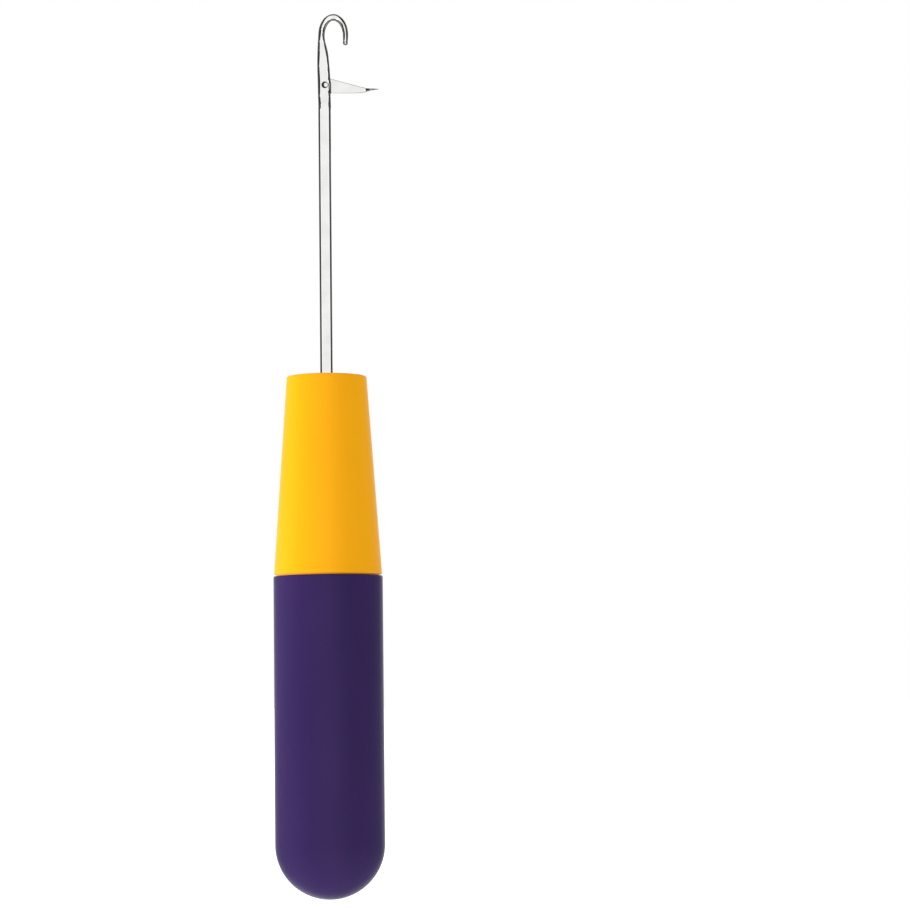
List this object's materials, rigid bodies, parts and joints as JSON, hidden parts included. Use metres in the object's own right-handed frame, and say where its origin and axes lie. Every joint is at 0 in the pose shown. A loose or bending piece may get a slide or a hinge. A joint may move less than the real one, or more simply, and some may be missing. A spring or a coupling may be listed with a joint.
{
  "type": "latch hook",
  "caption": "Hand latch hook: a slim steel hook with a hinged latch, set in a tapered nose and a round-ended plastic barrel grip.",
  "frame": {"origin": "the lowest point of the barrel's domed end, on the handle's axis", "axes": "+Z along the handle's axis towards the hook, +X the way the hook opens, Y along the latch's rivet"},
  "size_m": [0.0201, 0.02, 0.1631],
  "materials": {
    "bright_steel": "polished nickel plating",
    "latch_steel": "polished nickel plating",
    "rivet_steel": "bright",
    "yellow_plastic": "satin",
    "purple_plastic": "satin"
  },
  "bodies": {
    "handle": {"grip_barrel": "purple_plastic", "nose_cone": "yellow_plastic", "hook_needle": "bright_steel", "latch_rivet": "rivet_steel"},
    "latch": {"latch": "latch_steel"}
  },
  "joints": [
    {"name": "latch_hinge", "type": "hinge", "parent": "handle", "child": "latch", "pos_m": [0.00032, 0, 0.1497], "axis": [0, -1, 0], "range_deg": [-73, 67.3]}
  ]
}
